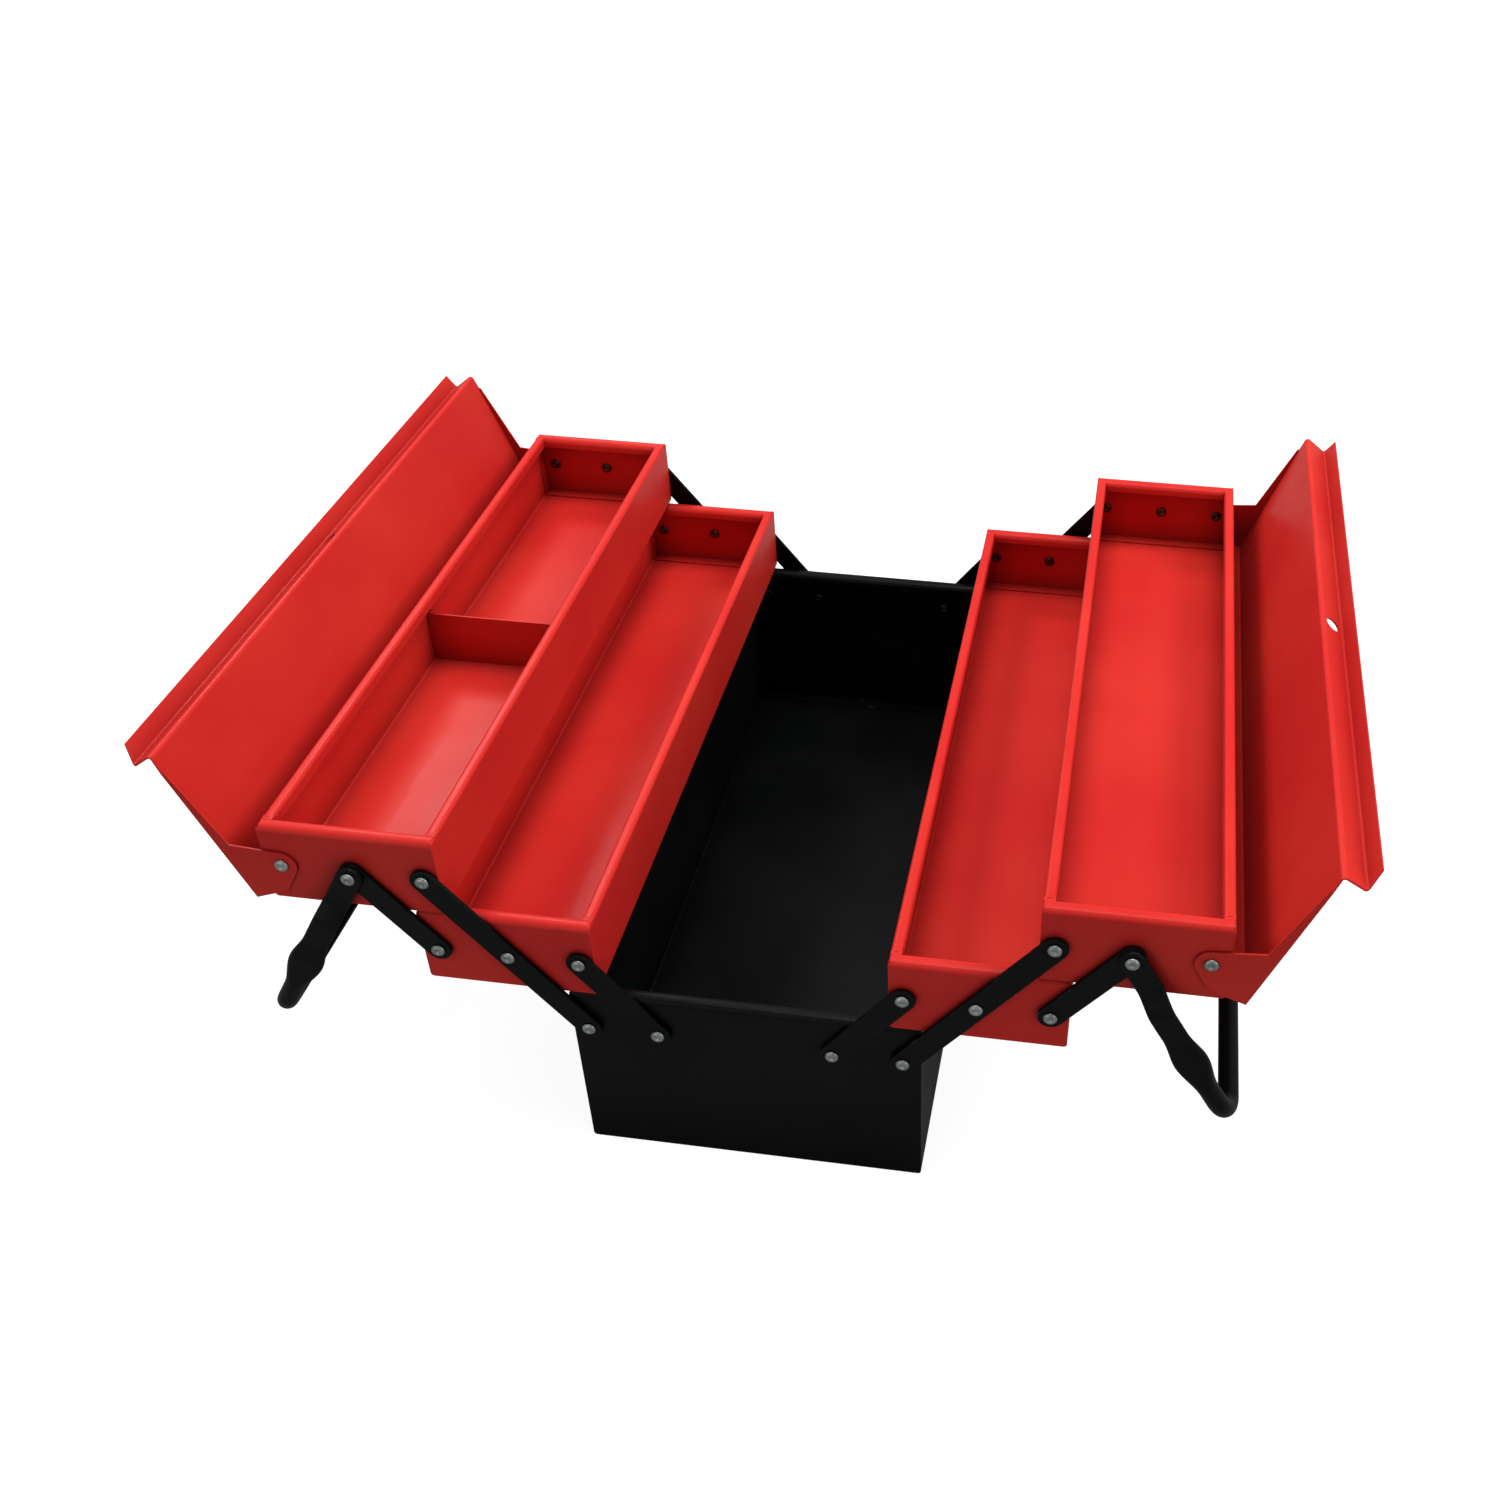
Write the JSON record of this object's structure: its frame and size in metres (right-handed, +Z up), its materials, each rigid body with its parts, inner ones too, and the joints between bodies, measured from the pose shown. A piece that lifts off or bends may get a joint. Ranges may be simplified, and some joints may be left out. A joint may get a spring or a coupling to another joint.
{
  "type": "cantilever tool box",
  "caption": "Cantilever tool box standing open: red trays on flat links swing up and out of a black base tray, with ridged lids and bail handles on the top trays.",
  "frame": {"origin": "centre of the underside of the base tray, which is the plane the box stands on", "axes": "+Z up, +Y along the trays from the front end to the rear end, +X across the box towards the right-hand trays"},
  "size_m": [0.6532, 0.484, 0.2692],
  "materials": {
    "red_enamel": "gloss red stoving enamel on pressed steel sheet",
    "black_enamel": "gloss black stoving enamel on steel sheet, flat links and bent tube",
    "zinc": "bright zinc-plated steel rivets"
  },
  "bodies": {
    "base": {"base_shell": "black_enamel", "base_front_end": "black_enamel", "base_rear_end": "black_enamel", "base_rivets": "zinc"},
    "left_long_links": {"left_long_link_front": "black_enamel", "left_long_link_rear": "black_enamel"},
    "left_lower_links": {"left_lower_link_front": "black_enamel", "left_lower_link_rear": "black_enamel"},
    "left_mid_tray": {"left_mid_shell": "red_enamel", "left_mid_front_end": "red_enamel", "left_mid_rear_end": "red_enamel", "left_mid_rivets": "zinc"},
    "left_upper_links": {"left_upper_link_front": "black_enamel", "left_upper_link_rear": "black_enamel"},
    "left_upper_tray": {"left_upper_shell": "red_enamel", "left_upper_front_end": "red_enamel", "left_upper_rear_end": "red_enamel", "left_upper_rivets": "zinc", "left_lid_rivets": "zinc", "left_upper_divider": "red_enamel"},
    "left_lid": {"left_lid": "red_enamel"},
    "left_handle": {"left_handle": "black_enamel"},
    "right_long_links": {"right_long_link_front": "black_enamel", "right_long_link_rear": "black_enamel"},
    "right_lower_links": {"right_lower_link_front": "black_enamel", "right_lower_link_rear": "black_enamel"},
    "right_mid_tray": {"right_mid_shell": "red_enamel", "right_mid_front_end": "red_enamel", "right_mid_rear_end": "red_enamel", "right_mid_rivets": "zinc"},
    "right_upper_links": {"right_upper_link_front": "black_enamel", "right_upper_link_rear": "black_enamel"},
    "right_upper_tray": {"right_upper_shell": "red_enamel", "right_upper_front_end": "red_enamel", "right_upper_rear_end": "red_enamel", "right_upper_rivets": "zinc", "right_lid_rivets": "zinc"},
    "right_lid": {"right_lid": "red_enamel"},
    "right_handle": {"right_handle": "black_enamel"}
  },
  "joints": [
    {"name": "left_fold", "type": "hinge", "parent": "base", "child": "left_long_links", "pos_m": [-0.09, 0, 0.0995], "axis": [0, 1, 0], "range_deg": [0, 76.22]},
    {"name": "left_lower_links_swing", "type": "hinge", "parent": "base", "child": "left_lower_links", "pos_m": [-0.05, 0, 0.0995], "axis": [0, 1, 0], "range_deg": [0, 76.22]},
    {"name": "left_mid_tray_level", "type": "hinge", "parent": "left_long_links", "child": "left_mid_tray", "pos_m": [-0.13, 0, 0.1505], "axis": [0, 1, 0], "range_deg": [-76.22, 0]},
    {"name": "left_upper_tray_level", "type": "hinge", "parent": "left_long_links", "child": "left_upper_tray", "pos_m": [-0.17, 0, 0.2015], "axis": [0, 1, 0], "range_deg": [-76.22, 0]},
    {"name": "left_upper_links_swing", "type": "hinge", "parent": "left_mid_tray", "child": "left_upper_links", "pos_m": [-0.17, 0, 0.1505], "axis": [0, 1, 0], "range_deg": [0, 76.22]},
    {"name": "left_lid_hinge", "type": "hinge", "parent": "left_upper_tray", "child": "left_lid", "pos_m": [-0.25, 0, 0.2015], "axis": [0, 1, 0], "range_deg": [0, 111]},
    {"name": "left_handle_swing", "type": "hinge", "parent": "left_upper_tray", "child": "left_handle", "pos_m": [-0.21, 0, 0.2015], "axis": [0, 1, 0], "range_deg": [0, 171.21]},
    {"name": "right_fold", "type": "hinge", "parent": "base", "child": "right_long_links", "pos_m": [0.09, 0, 0.0995], "axis": [0, -1, 0], "range_deg": [0, 76.22]},
    {"name": "right_lower_links_swing", "type": "hinge", "parent": "base", "child": "right_lower_links", "pos_m": [0.05, 0, 0.0995], "axis": [0, -1, 0], "range_deg": [0, 76.22]},
    {"name": "right_mid_tray_level", "type": "hinge", "parent": "right_long_links", "child": "right_mid_tray", "pos_m": [0.13, 0, 0.1505], "axis": [0, -1, 0], "range_deg": [-76.22, 0]},
    {"name": "right_upper_tray_level", "type": "hinge", "parent": "right_long_links", "child": "right_upper_tray", "pos_m": [0.17, 0, 0.2015], "axis": [0, -1, 0], "range_deg": [-76.22, 0]},
    {"name": "right_upper_links_swing", "type": "hinge", "parent": "right_mid_tray", "child": "right_upper_links", "pos_m": [0.17, 0, 0.1505], "axis": [0, -1, 0], "range_deg": [0, 76.22]},
    {"name": "right_lid_hinge", "type": "hinge", "parent": "right_upper_tray", "child": "right_lid", "pos_m": [0.25, 0, 0.2015], "axis": [0, -1, 0], "range_deg": [0, 111]},
    {"name": "right_handle_swing", "type": "hinge", "parent": "right_upper_tray", "child": "right_handle", "pos_m": [0.21, 0, 0.2015], "axis": [0, -1, 0], "range_deg": [0, 171.21]}
  ],
  "couplings": [
    {"joint": "left_lower_links_swing", "follows": "left_fold", "ratio": 1},
    {"joint": "left_mid_tray_level", "follows": "left_fold", "ratio": -1},
    {"joint": "left_upper_tray_level", "follows": "left_fold", "ratio": -1},
    {"joint": "left_upper_links_swing", "follows": "left_fold", "ratio": 1},
    {"joint": "left_handle_swing", "follows": "left_lid_hinge", "ratio": 1.5423},
    {"joint": "right_lower_links_swing", "follows": "right_fold", "ratio": 1},
    {"joint": "right_mid_tray_level", "follows": "right_fold", "ratio": -1},
    {"joint": "right_upper_tray_level", "follows": "right_fold", "ratio": -1},
    {"joint": "right_upper_links_swing", "follows": "right_fold", "ratio": 1},
    {"joint": "right_handle_swing", "follows": "right_lid_hinge", "ratio": 1.5423}
  ]
}
